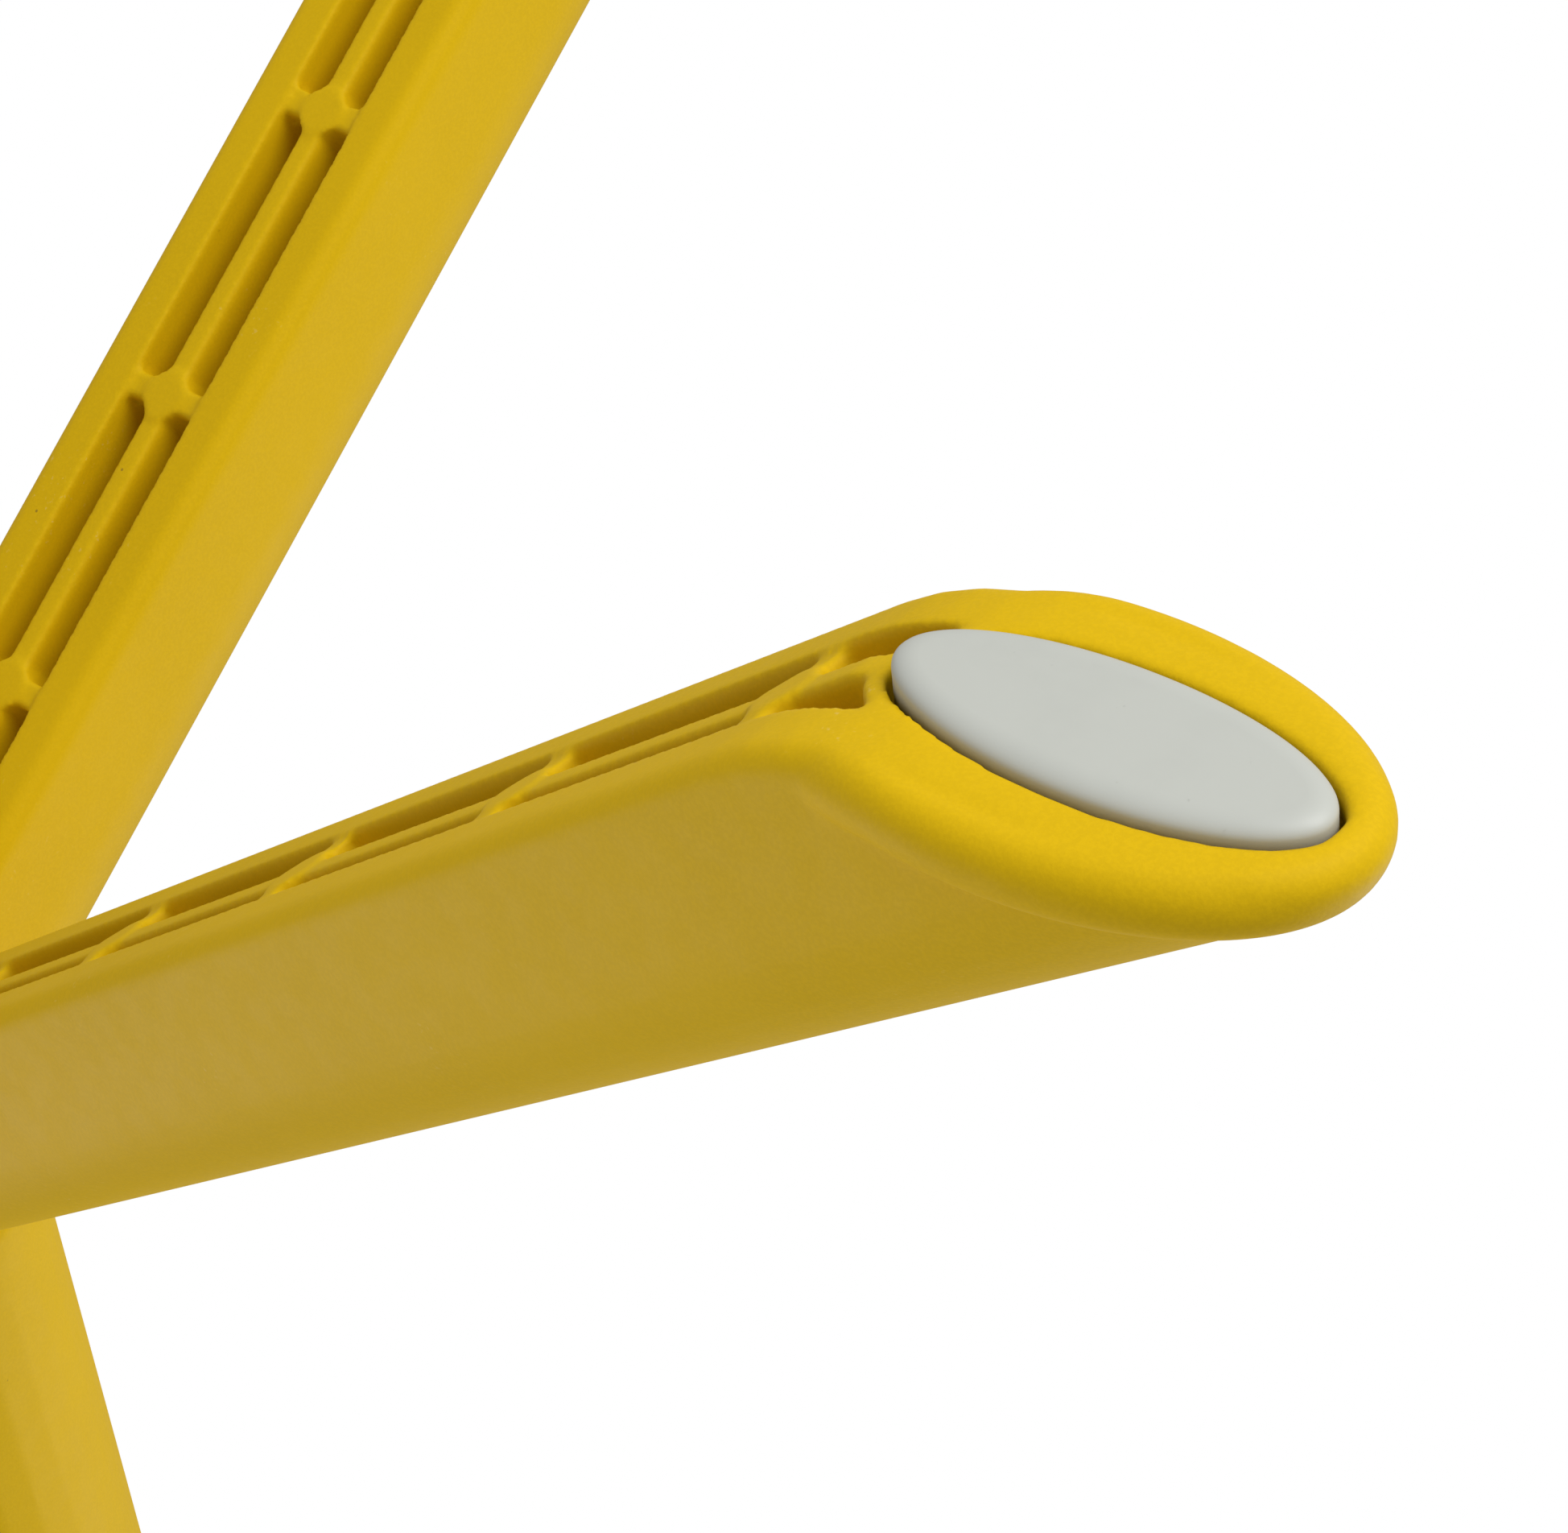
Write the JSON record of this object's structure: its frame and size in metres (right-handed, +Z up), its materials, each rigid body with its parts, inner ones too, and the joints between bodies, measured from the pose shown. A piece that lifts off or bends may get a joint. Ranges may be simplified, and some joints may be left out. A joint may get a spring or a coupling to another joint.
{
  "type": "crowd control barrier",
  "caption": "Free-standing belt post on a moulded four-legged base with ribbed legs and oval foot pads; a head winds a retractable belt and receives others.",
  "frame": {"origin": "floor level under the axis of the post, at the middle of the four foot pads", "axes": "+Z up along the post; +X along the first leg and out of the belt slot"},
  "size_m": [0.6124, 0.6124, 0.995],
  "materials": {
    "yellow_moulding": "fine grained matt polypropylene",
    "yellow_tube": "satin extruded plastic",
    "yellow_plastic": "fine grained matt plastic",
    "grey_rubber": "smooth matt light grey rubber",
    "grey_plastic": "fine grained matt plastic",
    "black_plastic": "matt moulded plastic",
    "zinc_steel": "zinc plated",
    "bright_steel": "ground",
    "spring_steel": "blued spring steel",
    "acetal": "natural acetal",
    "belt_webbing": "close woven polyester webbing"
  },
  "bodies": {
    "post": {"base_moulding": "yellow_moulding", "belt_guide_posts": "bright_steel", "belt_lead": "belt_webbing", "belt_receiver_1": "grey_plastic", "belt_receiver_2": "grey_plastic", "belt_receiver_3": "grey_plastic", "cassette_lower_plate": "black_plastic", "cassette_standoffs": "zinc_steel", "cassette_upper_plate": "black_plastic", "foot_pad_1": "grey_rubber", "foot_pad_2": "grey_rubber", "foot_pad_3": "grey_rubber", "foot_pad_4": "grey_rubber", "head_adaptor": "grey_plastic", "head_cap": "grey_plastic", "head_screws": "zinc_steel", "head_shell": "yellow_plastic", "hub_bolt": "zinc_steel", "hub_washer": "zinc_steel", "neck_collar": "grey_rubber", "post_tube": "yellow_tube", "power_spring": "spring_steel", "receiver_screws": "zinc_steel", "slot_bezel": "grey_plastic", "spindle_clip": "bright_steel", "spool_spindle": "bright_steel", "spool_thrust_collar": "acetal", "spring_arbor": "bright_steel", "spring_cup": "black_plastic", "tube_lower_plug": "black_plastic"},
    "spool": {"belt_spool": "black_plastic", "belt_roll": "belt_webbing", "spool_lower_bush": "acetal", "spool_upper_bush": "acetal"},
    "belt_end": {"belt_end_clip": "grey_plastic", "belt_end_tab": "belt_webbing"}
  },
  "joints": [
    {"name": "belt_pull", "type": "slide", "parent": "post", "child": "belt_end", "axis": [1, 0, 0], "range_m": [0, 2], "stiffness_N_per_m": 1, "springref_m": -8},
    {"name": "spool_turn", "type": "hinge", "parent": "post", "child": "spool", "pos_m": [0, 0, 0.921], "axis": [0, 0, 1], "range_deg": [-10, 5000]}
  ],
  "couplings": [
    {"joint": "spool_turn", "follows": "belt_pull", "rad_per_m": 42.373}
  ]
}
